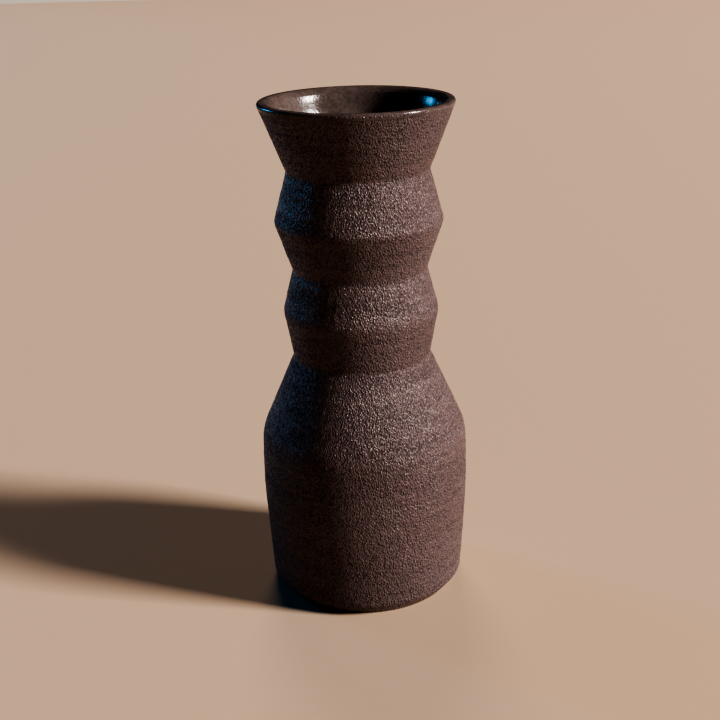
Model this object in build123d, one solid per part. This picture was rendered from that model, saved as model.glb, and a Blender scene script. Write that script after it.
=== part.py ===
from build123d import *

import math
import os

# A tall wheel-thrown stoneware vase: the bare clay vessel, and the glaze that lines it.
# Millimetres, +Z up, origin at the centre of the plane that the foot rests on.
# Each half section lies in the XZ plane, with X as the radius, and is turned about Z.

# Outside of the vessel, from the foot up. A rise is the height of one stretch of the wall. A
# radius is to the sharp corner at the top of that stretch, before the corner is rounded.
foot_radius = 42.5
bevel_rise = 6.0
bevel_radius = 47.5
belly_rise = 48.0
belly_radius = 50.5
shoulder_rise = 27.3
shoulder_radius = 49.8
low_waist_rise = 38.5
low_waist_radius = 32.6
low_bulge_rise = 22.4
low_bulge_radius = 36.8
middle_waist_rise = 20.0
middle_waist_radius = 31.5
high_bulge_rise = 22.9
high_bulge_radius = 39.3
neck_rise = 23.4
neck_radius = 32.9
mouth_rise = 31.5
mouth_radius = 45.3

# Rounding of the outside corners: the waists and the neck are cut crisply with a rib's edge, and
# the bevel at the foot is trimmed with a sharp tool.
foot_round = 1.0
bevel_round = 2.0
belly_round = 300.0
shoulder_round = 25.0
low_waist_round = 2.0
low_bulge_round = 9.0
middle_waist_round = 2.0
high_bulge_round = 6.0
neck_round = 1.8

# Clay wall, measured level, thinning evenly from the foot to the mouth
wall_at_foot = 7.0
wall_at_mouth = 4.5
floor_thickness = 8.0

# Rounding of the inside corners, all softened by the potter's fingers
floor_round = 14.0
inner_belly_round = 300.0
inner_shoulder_round = 40.0
inner_waist_round = 6.0
inner_bulge_round = 16.0

# The lip: a flat top with a tight outer edge and a softer inner one
lip_outer_round = 1.3
lip_inner_round = 2.0

# The ring that the vase stands on, and the shallow hollow trimmed out inside it
foot_ring_width = 9.0
foot_hollow_depth = 1.2
foot_hollow_slope = 3.0

# Glaze on the inside and over the lip
glaze_thickness = 0.4

# The most of a stretch of wall that the rounding of one of its corners may take up
round_share = 0.45


def wall_stretches():
    """Each corner of the wall, from the belly to the neck: rise, radius, outside and inside rounding."""
    return [
        (belly_rise, belly_radius, belly_round, inner_belly_round),
        (shoulder_rise, shoulder_radius, shoulder_round, inner_shoulder_round),
        (low_waist_rise, low_waist_radius, low_waist_round, inner_waist_round),
        (low_bulge_rise, low_bulge_radius, low_bulge_round, inner_bulge_round),
        (middle_waist_rise, middle_waist_radius, middle_waist_round, inner_waist_round),
        (high_bulge_rise, high_bulge_radius, high_bulge_round, inner_bulge_round),
        (neck_rise, neck_radius, neck_round, inner_waist_round),
    ]


neck_height = bevel_rise + sum(stretch[0] for stretch in wall_stretches())
total_height = neck_height + mouth_rise
mouth_flare = (mouth_radius - neck_radius) / mouth_rise


def wall_at(height):
    """Level thickness of the clay wall at a height."""
    return wall_at_foot + (wall_at_mouth - wall_at_foot) * height / total_height


def turn_between(before, corner, after):
    """Angle in radians that an outline turns through at a corner, positive to the left."""
    along = (Vector(*corner) - Vector(*before)).normalized()
    onward = (Vector(*after) - Vector(*corner)).normalized()
    return math.atan2(along.X * onward.Y - along.Y * onward.X, along.dot(onward))


def rounds_that_fit(points, rounds):
    """The rounding of each inner corner of an outline, limited to what its two stretches can hold."""
    fitted = []
    for before, corner, after, wanted in zip(points, points[1:], points[2:], rounds):
        shorter = min(math.dist(before, corner), math.dist(corner, after))
        half_turn = abs(turn_between(before, corner, after)) / 2
        fitted.append(min(wanted, round_share * shorter / math.tan(half_turn)))
    return fitted


def moved_left(points, distance):
    """The outline moved square to itself by a distance, to the left of the way that it runs."""
    starts = []
    directions = []
    for start, end in zip(points, points[1:]):
        along = (Vector(*end) - Vector(*start)).normalized()
        starts.append(Vector(*start) + Vector(-along.Y, along.X) * distance)
        directions.append(along)
    moved = [starts[0]]
    for index in range(1, len(starts)):
        first, second = directions[index - 1], directions[index]
        gap = starts[index] - starts[index - 1]
        crossing = first.X * second.Y - first.Y * second.X
        reach = (gap.X * second.Y - gap.Y * second.X) / crossing
        moved.append(starts[index - 1] + first * reach)
    moved.append(starts[-1] + directions[-1] * math.dist(points[-2], points[-1]))
    return [(point.X, point.Y) for point in moved]


def outside_wall():
    """The outside corners of the wall, from the foot's edge to the neck."""
    corners = [(foot_radius, 0.0), (bevel_radius, bevel_rise)]
    for rise, radius, _, _ in wall_stretches():
        corners.append((radius, corners[-1][1] + rise))
    return corners


def inside_of_clay():
    """The clay's inside, from the centre of the floor up to the neck, and over the mouth's flat top."""
    lip_height = total_height - glaze_thickness
    lip_outer = mouth_radius - mouth_flare * glaze_thickness
    belly_flare = (belly_radius - bevel_radius) / belly_rise
    floor_outer = bevel_radius + belly_flare * (floor_thickness - bevel_rise)
    corners = [(0.0, floor_thickness), (floor_outer - wall_at(floor_thickness), floor_thickness)]
    for radius, height in outside_wall()[2:]:
        corners.append((radius - wall_at(height), height))
    corners.append((lip_outer - wall_at_mouth, lip_height))
    corners.append((lip_outer, lip_height))
    return corners


def vessel_section(coat):
    """Half section of the vessel with a coat of this thickness on its inside and over its lip."""
    bare_inside = inside_of_clay()
    inside = moved_left(bare_inside, coat)
    lip_height = inside[-1][1]
    lip_outer = (mouth_radius - mouth_flare * (total_height - lip_height), lip_height)

    outside = outside_wall() + [lip_outer]
    outside_rounds = [bevel_round] + [stretch[2] for stretch in wall_stretches()]
    outside_rounds = rounds_that_fit(outside, outside_rounds)
    over_lip = [outside[-2], lip_outer, inside[-2], inside[-3]]
    lip_rounds = rounds_that_fit(over_lip, [lip_outer_round, lip_inner_round + coat])

    # A coat tightens the corners that it fills, and widens those that it goes round.
    inside_rounds = [floor_round] + [stretch[3] for stretch in wall_stretches()]
    inside_rounds = rounds_that_fit(bare_inside[:-1], inside_rounds)
    for index, bare_round in enumerate(inside_rounds):
        turn = turn_between(*bare_inside[index : index + 3])
        inside_rounds[index] = bare_round - math.copysign(coat, turn)

    hollow_radius = foot_radius - foot_round - foot_ring_width
    foot = [(0.0, foot_hollow_depth), (hollow_radius - foot_hollow_slope, foot_hollow_depth)]
    foot.append((hollow_radius, 0.0))

    outline = FilletPolyline(
        *foot,
        *outside,
        *reversed(inside[:-1]),
        radius=[0, 0, 0, foot_round, *outside_rounds, *lip_rounds, *reversed(inside_rounds), 0],
        close=True,
    )
    return make_face(Plane.XZ * outline)


def turned(section):
    """The solid that a half section makes when it is turned about the vase's axis."""
    return revolve(section, Axis.Z, 360)


def stoneware_body():
    """The thrown clay, in one piece from the foot to the lip."""
    return turned(vessel_section(0))


def liner_glaze():
    """The glaze on the floor, the inside wall and the lip, thinning to nothing on the lip's outer edge."""
    return turned(vessel_section(glaze_thickness) - vessel_section(0))


os.makedirs("parts", exist_ok=True)
export_step(stoneware_body(), "parts/stoneware_body.step")
export_step(liner_glaze(), "parts/liner_glaze.step")
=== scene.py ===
import math

import bmesh
import bpy
from mathutils import Matrix, Vector, noise


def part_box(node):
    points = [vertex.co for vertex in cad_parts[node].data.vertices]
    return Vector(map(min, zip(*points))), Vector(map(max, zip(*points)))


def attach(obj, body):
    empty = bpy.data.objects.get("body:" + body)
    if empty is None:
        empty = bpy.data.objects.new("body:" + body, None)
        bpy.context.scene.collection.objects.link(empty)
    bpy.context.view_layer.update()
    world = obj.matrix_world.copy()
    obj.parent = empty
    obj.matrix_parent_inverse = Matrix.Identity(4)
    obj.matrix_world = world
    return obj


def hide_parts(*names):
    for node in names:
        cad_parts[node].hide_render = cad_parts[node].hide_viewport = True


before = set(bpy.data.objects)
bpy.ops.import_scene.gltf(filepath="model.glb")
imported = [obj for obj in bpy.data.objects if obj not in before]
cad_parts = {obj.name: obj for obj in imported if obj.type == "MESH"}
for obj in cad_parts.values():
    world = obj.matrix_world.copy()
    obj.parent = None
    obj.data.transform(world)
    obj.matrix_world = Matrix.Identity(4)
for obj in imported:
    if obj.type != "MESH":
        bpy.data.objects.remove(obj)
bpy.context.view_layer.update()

# A thrown stoneware vase: bare, coarse, grogged dark brown clay outside, and a smooth brown glaze
# inside and over the lip. Metres throughout, in the frame of the CAD model, +Z up.

MM = 0.001

# Resolution of the turned meshes
CLAY_COLUMNS = 360          # faces round the vase
GLAZE_COLUMNS = 240
CLAY_ROW = 1.15 * MM        # spacing of the rows up the outside of the clay
GLAZE_ROW = 1.0 * MM        # and down the inside of the glaze
LIP_ROW = 0.3 * MM          # and over the lip, which is tightly rounded
LIP_REACH = 4 * MM          # the lip's fine rows go at least this far down the inside
HIDDEN_SLACK = 0.08 * MM    # how far the faces that never show may cut a corner
WELD = 0.001 * MM           # points nearer to each other than this are one
SHARP = math.radians(60)    # edges that turn more than this stay crisp

# The vase's levels, from the frame
clay_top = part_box("stoneware_body")[1].z
vase_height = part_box("liner_glaze")[1].z


# ------------------------------------------------------------------ outlines cut from the CAD nodes


def half_section(node):
    """A turned CAD node's half section: its points in order, from the lower end on the axis."""
    cut = bmesh.new()
    cut.from_mesh(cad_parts[node].data)
    bmesh.ops.remove_doubles(cut, verts=cut.verts, dist=WELD)
    for normal, clear_both in (((0, 1, 0), True), ((1, 0, 0), False)):
        bmesh.ops.bisect_plane(
            cut,
            geom=cut.verts[:] + cut.edges[:] + cut.faces[:],
            dist=WELD / 10,
            plane_co=(0, 0, 0),
            plane_no=normal,
            clear_inner=True,
            clear_outer=clear_both,
        )
    ends = [v for v in cut.verts if len(v.link_edges) == 1]
    point = min(ends, key=lambda v: v.co.z)
    edge = None
    points = []
    while point is not None:
        points.append(Vector((point.co.x, 0, point.co.z)))
        onward = [e for e in point.link_edges if e is not edge]
        edge = onward[0] if onward else None
        point = edge.other_vert(point) if edge else None
    cut.free()
    return points


def evenly(points, spacing):
    """The same run of outline with its points evenly spaced, about this far apart."""
    lengths = [0.0]
    for start, end in zip(points, points[1:]):
        lengths.append(lengths[-1] + (end - start).length)
    count = max(2, round(lengths[-1] / spacing))
    even = []
    index = 0
    for step in range(count + 1):
        reach = lengths[-1] * step / count
        while index < len(points) - 2 and lengths[index + 1] < reach:
            index += 1
        share = (reach - lengths[index]) / (lengths[index + 1] - lengths[index])
        even.append(points[index].lerp(points[index + 1], min(1.0, share)))
    return even


def few(points, slack):
    """The same run of outline with as few points as keep within this distance of it."""
    kept = [points[0]]
    start = 0
    for end in range(2, len(points)):
        chord = (points[end] - points[start]).normalized()
        between = [point - points[start] for point in points[start + 1 : end]]
        if max((step - chord * step.dot(chord)).length for step in between) > slack:
            start = end - 1
            kept.append(points[start])
    return kept + [points[-1]]


def turned(outline, columns):
    """A closed bmesh made by turning an outline, which starts and ends on the axis, about Z."""
    lathe = bmesh.new()
    ring = [lathe.verts.new(point) for point in outline]
    for start, end in zip(ring, ring[1:]):
        lathe.edges.new((start, end))
    bmesh.ops.spin(
        lathe,
        geom=lathe.verts[:] + lathe.edges[:],
        cent=(0, 0, 0),
        axis=(0, 0, 1),
        angle=math.pi / 2,
        steps=columns // 4,
    )
    for across in "XY":
        quarter = lathe.verts[:] + lathe.edges[:] + lathe.faces[:]
        bmesh.ops.mirror(lathe, geom=quarter, axis=across, merge_dist=WELD)
    bmesh.ops.remove_doubles(lathe, verts=lathe.verts, dist=WELD)
    bmesh.ops.recalc_face_normals(lathe, faces=lathe.faces)
    return lathe


def make_piece(shape, name, node, slot, *materials):
    """Makes the finished piece, which stands for its CAD node."""
    mesh = bpy.data.meshes.new(name)
    for face in shape.faces:
        face.smooth = True
    for edge in shape.edges:
        edge.smooth = edge.calc_face_angle(0) < SHARP
    shape.to_mesh(mesh)
    shape.free()
    for material in materials:
        mesh.materials.append(material)
    piece = bpy.data.objects.new(name, mesh)
    bpy.context.scene.collection.objects.link(piece)
    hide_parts(node)
    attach(piece, "root")


# ------------------------------------------------------------------ the marks of wheel and clay

# How far apart each mark's bumps are, and how high they stand
SLOW_SWING, SLOW_HEIGHT = 60 * MM, 0.35 * MM
QUICK_SWING, QUICK_HEIGHT = 24 * MM, 0.10 * MM
BROAD_MARK, BROAD_HEIGHT = 5.5 * MM, 0.10 * MM
NARROW_MARK, NARROW_HEIGHT = 1.9 * MM, 0.06 * MM
LUMP, LUMP_HEIGHT = 3.0 * MM, 0.09 * MM
GRAIN, GRAIN_HEIGHT = 1.5 * MM, 0.11 * MM
RING, RING_HEIGHT = 17 * MM, 0.9 * MM

MARK_LENGTH = 90 * MM       # how far a wheel mark runs round the vase before it changes
NARROW_TIMES = 1.7          # the narrow marks are this many times shorter
RING_LENGTH = 70 * MM       # how far a finger ring runs round the vase before it drifts
RING_DRIFT_RISE = 30 * MM   # and up it
RING_DRIFT = 0.1            # how far it drifts, as a share of the rings' spacing
RING_START = 0.19           # how far below the lip's top the first crest is, in the same share

# Where the marks die away
FOOT_TRUE = 12 * MM         # the wall only swings fully above this height
FOOT_SMOOTH = 0.2 * MM      # the foot's edge is smooth up to this height
FOOT_ROUGH = 2.5 * MM       # and has its full grog from this height
LIP_DROP = 1.8 * MM         # the glaze stops about this far below the clay's top, on the outside
LIP_FADE = 0.8 * MM         # the grog sinks into the smooth lip over this height
EDGE_TILT = 0.25            # the lip's outer edge looks bare where its normal rises less than this
RING_LIP = 3 * MM           # the finger rings flatten over this drop below the lip's top
RING_FOOT = 20 * MM         # and over this height above the foot


def rise(low, high, value):
    """0 below low, 1 above high, and smooth between."""
    share = max(0.0, min(1.0, (value - low) / (high - low)))
    return share * share * (3 - 2 * share)


def hand_swing(place):
    """How far the whole wall wanders from a true turned form, as thrown by hand."""
    slow = noise.noise(place * (1 / SLOW_SWING) + Vector((3.1, 7.7, 1.9)))
    quick = noise.noise(place * (1 / QUICK_SWING) + Vector((8.3, 2.2, 5.4)))
    return SLOW_HEIGHT * slow + QUICK_HEIGHT * quick


def wheel_marks(place):
    """Shallow rings that fingers and a rib leave, long round the vase and narrow up it."""
    around = Vector((place.x, place.y, 0)) * (1 / MARK_LENGTH)
    broad = noise.noise(around + Vector((0, 0, place.z / BROAD_MARK)))
    narrow = noise.noise(around * NARROW_TIMES + Vector((4.0, 9.0, place.z / NARROW_MARK)))
    return BROAD_HEIGHT * broad + NARROW_HEIGHT * narrow


def grog_lumps(place):
    """Coarse grog that stands out of the scraped clay."""
    lumps = noise.noise(place * (1 / LUMP) + Vector((1.7, 4.4, 9.2)))
    grains = noise.noise(place * (1 / GRAIN) + Vector((6.6, 0.3, 2.8)))
    return LUMP_HEIGHT * lumps + GRAIN_HEIGHT * grains


def swing_of(place):
    """The same wander as a move away from the axis. The foot stays true."""
    away = Vector((place.x, place.y, 0)).normalized()
    return away * hand_swing(place) * rise(0, FOOT_TRUE, place.z)


def shape_clay(clay, glaze_edge):
    """Moves the clay by the marks of its making. Its inside, behind the glaze, only swings."""
    clay.normal_update()
    moves = []
    for vertex in clay.verts:
        place, normal = vertex.co, vertex.normal
        move = swing_of(place)
        if normal.x * place.x + normal.y * place.y > 0 and place.z < glaze_edge:
            rough = rise(0, LIP_FADE, glaze_edge - place.z) * rise(FOOT_SMOOTH, FOOT_ROUGH, place.z)
            move = move + normal * (wheel_marks(place) + grog_lumps(place)) * rough
        moves.append(move)
    for vertex, move in zip(clay.verts, moves):
        vertex.co += move


def finger_rings(place):
    """Soft ridges up the inside, like those that the potter's fingers leave."""
    around = Vector((place.x, place.y, 0)) * (1 / RING_LENGTH)
    drift = noise.noise(around + Vector((5.2, 1.3, place.z / RING_DRIFT_RISE)))
    turns = (place.z - vase_height) / RING + RING_START + RING_DRIFT * drift
    return RING_HEIGHT * (0.5 + 0.5 * math.cos(math.tau * turns))


def shape_glaze(glaze):
    """Moves the glaze with the clay behind it, and gives its inner face the finger rings."""
    glaze.normal_update()
    moves = []
    for vertex in glaze.verts:
        place, normal = vertex.co, vertex.normal
        move = swing_of(place)
        if normal.x * place.x + normal.y * place.y < 0:
            full = rise(0, RING_LIP, vase_height - place.z) * rise(0, RING_FOOT, place.z)
            move = move + normal * finger_rings(place) * full
        moves.append(move)
    for vertex, move in zip(glaze.verts, moves):
        vertex.co += move


# ------------------------------------------------------------------ materials


def material_named(name):
    """A new material with its nodes, its shader and its pattern coordinates."""
    material = bpy.data.materials.new(name)
    material.use_nodes = True
    nodes = material.node_tree.nodes
    shader = nodes["Principled BSDF"]
    coordinates = nodes.new("ShaderNodeTexCoord")
    return material, nodes, material.node_tree.links, shader, coordinates.outputs["Object"]


def scaled(nodes, links, source, scale):
    """The pattern coordinates, stretched by a scale for each axis."""
    mapping = nodes.new("ShaderNodeMapping")
    mapping.inputs["Scale"].default_value = scale
    links.new(source, mapping.inputs["Vector"])
    return mapping.outputs["Vector"]


def noise_of(nodes, links, source, size, detail=2.0, roughness=0.5):
    """A soft noise whose lumps are about this size."""
    texture = nodes.new("ShaderNodeTexNoise")
    texture.inputs["Scale"].default_value = 1 / size
    texture.inputs["Detail"].default_value = detail
    texture.inputs["Roughness"].default_value = roughness
    links.new(source, texture.inputs["Vector"])
    return texture.outputs["Fac"]


def grains_of(nodes, links, source, size):
    """Grains about this far apart: the distance from a grain's middle, as a share of that."""
    texture = nodes.new("ShaderNodeTexVoronoi")
    texture.inputs["Scale"].default_value = 1 / size
    links.new(source, texture.inputs["Vector"])
    return texture.outputs["Distance"]


def ramp(nodes, links, source, low, high, low_out=0.0, high_out=1.0):
    """A source carried smoothly from the range low to high, to the range low_out to high_out."""
    stretch = nodes.new("ShaderNodeMapRange")
    stretch.interpolation_type = "SMOOTHSTEP"
    stretch.inputs["From Min"].default_value = low
    stretch.inputs["From Max"].default_value = high
    stretch.inputs["To Min"].default_value = low_out
    stretch.inputs["To Max"].default_value = high_out
    links.new(source, stretch.inputs["Value"])
    return stretch.outputs["Result"]


def total(nodes, links, *shares):
    """The sum of several sources, each times its share."""
    result = None
    for source, share in shares:
        part = nodes.new("ShaderNodeMath")
        part.operation = "MULTIPLY_ADD"
        part.inputs[1].default_value = share
        links.new(source, part.inputs[0])
        if result is None:
            part.inputs[2].default_value = 0.0
        else:
            links.new(result, part.inputs[2])
        result = part.outputs[0]
    return result


def blended(nodes, links, share, first, second):
    """A colour between two others, each a colour or a source of one."""
    mix = nodes.new("ShaderNodeMix")
    mix.data_type = "RGBA"
    links.new(share, mix.inputs["Factor"])
    # Sockets 6 and 7 are the two colours, and 2 is their mix.
    for socket, colour in ((mix.inputs[6], first), (mix.inputs[7], second)):
        if isinstance(colour, tuple):
            socket.default_value = (*colour, 1)
        else:
            links.new(colour, socket)
    return mix.outputs[2]


def relief(nodes, links, height, depth):
    """A surface normal from a height, 1 of which stands for this depth in metres."""
    bump = nodes.new("ShaderNodeBump")
    bump.inputs["Distance"].default_value = depth
    bump.inputs["Strength"].default_value = 1.0
    links.new(height, bump.inputs["Height"])
    return bump.outputs["Normal"]


def grogged_clay():
    """Bare dark brown stoneware: gritty, with grog that stands out, and its colour darkened as
    painted shade in the low hollows between.
    """
    material, nodes, links, shader, place = material_named("grogged_stoneware")
    upright = scaled(nodes, links, place, (1, 1, 0.68))
    sand = noise_of(nodes, links, upright, 0.65 * MM, 1.0, 0.6)
    lumps = noise_of(nodes, links, place, 2.6 * MM, 1.0)
    grains = grains_of(nodes, links, upright, 0.85 * MM)
    grain = ramp(nodes, links, grains, 0.1, 0.75, low_out=1.0, high_out=0.0)
    streaks = noise_of(nodes, links, scaled(nodes, links, place, (1, 1, 22)), 45 * MM, 3.0)
    bands = noise_of(nodes, links, scaled(nodes, links, place, (1, 1, 9)), 80 * MM, 2.0)
    grit = total(nodes, links, (sand, 1.15), (grain, 0.45), (lumps, 0.4))
    height = total(nodes, links, (grit, 1.0), (streaks, 0.3), (bands, 0.3))
    links.new(relief(nodes, links, height, 0.50 * MM), shader.inputs["Normal"])

    tone = total(nodes, links, (grit, 1.0), (streaks, 0.4), (bands, 0.4))
    clouds = noise_of(nodes, links, place, 30 * MM, 3.0)
    cloudy = ramp(nodes, links, clouds, 0.35, 0.65)
    ground = blended(nodes, links, cloudy, (0.094, 0.061, 0.061), (0.100, 0.069, 0.070))
    tips = ramp(nodes, links, tone, 1.55, 1.85)
    tipped = blended(nodes, links, tips, ground, (0.15, 0.105, 0.105))
    # Painted shade: the colour darkens where the relief is lowest, in the hollows between the
    # grains, for the shade that falls there.
    pit_shade_mask = ramp(nodes, links, tone, 1.08, 1.36, low_out=1.0, high_out=0.0)
    with_painted_pit_shade = blended(nodes, links, pit_shade_mask, tipped, (0.050, 0.031, 0.033))
    links.new(with_painted_pit_shade, shader.inputs["Base Color"])
    roughness = ramp(nodes, links, tone, 1.15, 1.5, low_out=0.85, high_out=0.32)
    links.new(roughness, shader.inputs["Roughness"])
    shader.inputs["IOR"].default_value = 1.42
    return material


def brown_glaze():
    """Smooth brown glaze with a soft sheen, slightly mottled: paler and duller in places."""
    material, nodes, links, shader, place = material_named("brown_liner_glaze")
    clouds = noise_of(nodes, links, place, 14 * MM, 4.0, 0.6)
    mottles = noise_of(nodes, links, place, 1.4 * MM, 2.0)
    tone = total(nodes, links, (clouds, 0.6), (mottles, 0.4))
    dark_tone, pale_tone = 0.38, 0.62
    pale = ramp(nodes, links, tone, dark_tone, pale_tone)
    colour = blended(nodes, links, pale, (0.060, 0.043, 0.039), (0.096, 0.072, 0.066))
    links.new(colour, shader.inputs["Base Color"])
    links.new(relief(nodes, links, mottles, 0.09 * MM), shader.inputs["Normal"])
    roughness = ramp(nodes, links, tone, dark_tone, pale_tone, low_out=0.17, high_out=0.27)
    links.new(roughness, shader.inputs["Roughness"])
    shader.inputs["IOR"].default_value = 1.33
    return material


# ------------------------------------------------------------------ the two pieces of the vase


def make_thrown_body(material):
    """The clay: fine rows up the outside, and only the rows that its shape needs elsewhere."""
    outline = half_section("stoneware_body")
    stand = next(i for i, p in enumerate(outline) if p.z < WELD)
    crown = max(range(len(outline)), key=lambda i: outline[i].z)
    under = outline[: stand + 1]
    outside = evenly(outline[stand : crown + 1], CLAY_ROW)
    inside = few(outline[crown:], HIDDEN_SLACK)
    clay = turned(under + outside[1:] + inside[1:], CLAY_COLUMNS)
    shape_clay(clay, clay_top - LIP_DROP)
    make_piece(clay, "thrown_body", "stoneware_body", "stoneware", material)


def make_glaze_coat(glaze_finish, clay_finish):
    """The glaze: fine rows on the face that shows, and few on the back, which lies on the clay.

    Where it thins out on the lip's outer edge, it has the look of bare clay.
    """
    outline = half_section("liner_glaze")
    mouth = [i for i, p in enumerate(outline) if p.z > vase_height / 2]
    crown = max(mouth, key=lambda i: outline[i].z)
    edge = max(mouth, key=lambda i: outline[i].x)
    while outline[edge - 1].x < outline[edge].x + WELD and outline[edge - 1].z < outline[edge].z:
        edge -= 1
    back = few(outline[: edge + 1], HIDDEN_SLACK)
    over = crown
    while outline[over].z > vase_height - LIP_REACH:
        over += 1
    lip = evenly(outline[edge : over + 1], LIP_ROW)
    inside = evenly(outline[over:], GLAZE_ROW)
    glaze = turned(back + lip[1:] + inside[1:], GLAZE_COLUMNS)
    shape_glaze(glaze)
    glaze.normal_update()
    for face in glaze.faces:
        middle, normal = face.calc_center_median(), face.normal
        outward = normal.x * middle.x + normal.y * middle.y > 0
        if outward and normal.z < EDGE_TILT and middle.z > vase_height - LIP_DROP:
            face.material_index = 1
    make_piece(glaze, "glaze_coat", "liner_glaze", "liner_glaze", glaze_finish, clay_finish)


clay_material = grogged_clay()
make_thrown_body(clay_material)
make_glaze_coat(brown_glaze(), clay_material)


# ------------------------------------------------------------------ floor, light and camera

FLOOR_HALF = 4.5            # metres from the vase to each edge of the floor
FOCAL_LENGTH = 60           # the camera's, in millimetres
FILM_WIDTH = 36             # in millimetres
CAMERA_PLACE = (0, -0.5443, 0.3189)
CAMERA_TILT = 20.54         # degrees down from level
CAMERA_TURN = 0.127         # degrees to the left
CAMERA_ROLL = -1.446        # degrees about its line of sight


def make_floor():
    """A plain pale floor. It fills the camera's view, but for a sliver at the top left corner."""
    ground = bmesh.new()
    bmesh.ops.create_grid(ground, x_segments=1, y_segments=1, size=FLOOR_HALF)
    mesh = bpy.data.meshes.new("floor")
    ground.to_mesh(mesh)
    ground.free()
    material = bpy.data.materials.new("pale_floor")
    material.use_nodes = True
    shader = material.node_tree.nodes["Principled BSDF"]
    shader.inputs["Base Color"].default_value = (0.41, 0.29, 0.20, 1)
    shader.inputs["Roughness"].default_value = 0.9
    mesh.materials.append(material)
    floor = bpy.data.objects.new("floor", mesh)
    bpy.context.scene.collection.objects.link(floor)


def make_light(name, azimuth, elevation, distance, size, power, colour):
    """A soft square light aimed at the middle of the vase.

    Azimuth 0 is the camera's side of the vase, and 90 is the right of the camera's view.
    """
    turn, lift = math.radians(azimuth), math.radians(elevation)
    level = math.cos(lift)
    towards = Vector((math.sin(turn) * level, -math.cos(turn) * level, math.sin(lift)))
    lamp = bpy.data.lights.new(name, "AREA")
    lamp.size = size
    lamp.energy = power
    lamp.color = colour
    light = bpy.data.objects.new(name, lamp)
    light.location = Vector((0, 0, vase_height / 2)) + towards * distance
    light.rotation_euler = towards.to_track_quat("Z", "Y").to_euler()
    bpy.context.scene.collection.objects.link(light)
    return light


def make_sky(seen, light):
    """A plain pale backdrop, as it is seen past the floor, and a faint even light from all round."""
    world = bpy.data.worlds.new("studio")
    world.use_nodes = True
    nodes = world.node_tree.nodes
    links = world.node_tree.links
    lighting = nodes["Background"]
    lighting.inputs["Color"].default_value = (*light, 1)
    backdrop = nodes.new("ShaderNodeBackground")
    backdrop.inputs["Color"].default_value = (*seen, 1)
    path = nodes.new("ShaderNodeLightPath")
    mix = nodes.new("ShaderNodeMixShader")
    links.new(path.outputs["Is Camera Ray"], mix.inputs["Fac"])
    links.new(lighting.outputs["Background"], mix.inputs[1])
    links.new(backdrop.outputs["Background"], mix.inputs[2])
    links.new(mix.outputs["Shader"], nodes["World Output"].inputs["Surface"])
    bpy.context.scene.world = world


def make_camera():
    """Looks down on the vase from in front, with a slight lean."""
    lens = bpy.data.cameras.new("camera")
    lens.lens = FOCAL_LENGTH
    lens.sensor_width = FILM_WIDTH
    camera = bpy.data.objects.new("camera", lens)
    camera.matrix_world = (
        Matrix.Translation(CAMERA_PLACE)
        @ Matrix.Rotation(math.radians(CAMERA_TURN), 4, "Z")
        @ Matrix.Rotation(math.radians(90 - CAMERA_TILT), 4, "X")
        @ Matrix.Rotation(math.radians(CAMERA_ROLL), 4, "Z")
    )
    bpy.context.scene.collection.objects.link(camera)
    bpy.context.scene.camera = camera


make_floor()
# Each light's azimuth and elevation in degrees, distance and size in metres, watts, and colour
make_light("key_light", 73, 26, 20.0, 3.6, 8800, (1.0, 0.94, 0.89))
back_light = make_light("back_light", 185, 45, 10.0, 3.0, 320, (1.0, 0.84, 0.72))
back_light.visible_glossy = False   # it fills the shadows, and lays no highlight along the back rim
make_light("cool_light", -126, 13, 6.0, 1.1, 112, (0.07, 0.49, 1.0))
make_sky(seen=(0.47, 0.40, 0.335), light=(0.005, 0.003, 0.006))
make_camera()
bpy.context.scene.view_settings.view_transform = "AgX"
bpy.context.scene.view_settings.look = "AgX - Very High Contrast"
